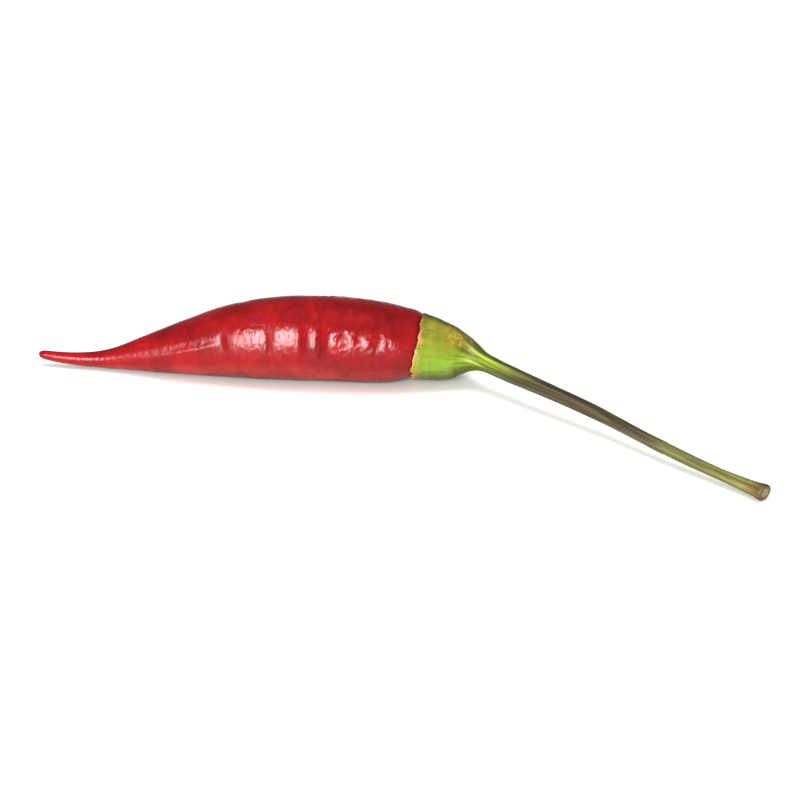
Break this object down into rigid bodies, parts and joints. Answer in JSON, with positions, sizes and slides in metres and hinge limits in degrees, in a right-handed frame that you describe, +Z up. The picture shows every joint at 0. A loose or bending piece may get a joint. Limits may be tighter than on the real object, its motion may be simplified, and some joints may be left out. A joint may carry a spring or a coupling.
{
  "type": "thai chili pepper",
  "caption": "Slim red bird's eye chilli lying on its side as picked: a glossy pod that tapers to a fine tip, under a green cap that narrows into a long bent stalk",
  "frame": {"origin": "on the surface that the chilli lies on, under the middle of its bounding box", "axes": "+X runs from the pod's tip towards the stalk end, +Y points away from the side that the stalk bends to, +Z is up"},
  "size_m": [0.0948, 0.0462, 0.0108],
  "materials": {
    "pod_skin": "gloss",
    "green_stalk": "satin"
  },
  "bodies": {
    "root": {"pod": "pod_skin", "cap_and_stalk": "green_stalk"}
  },
  "joints": []
}
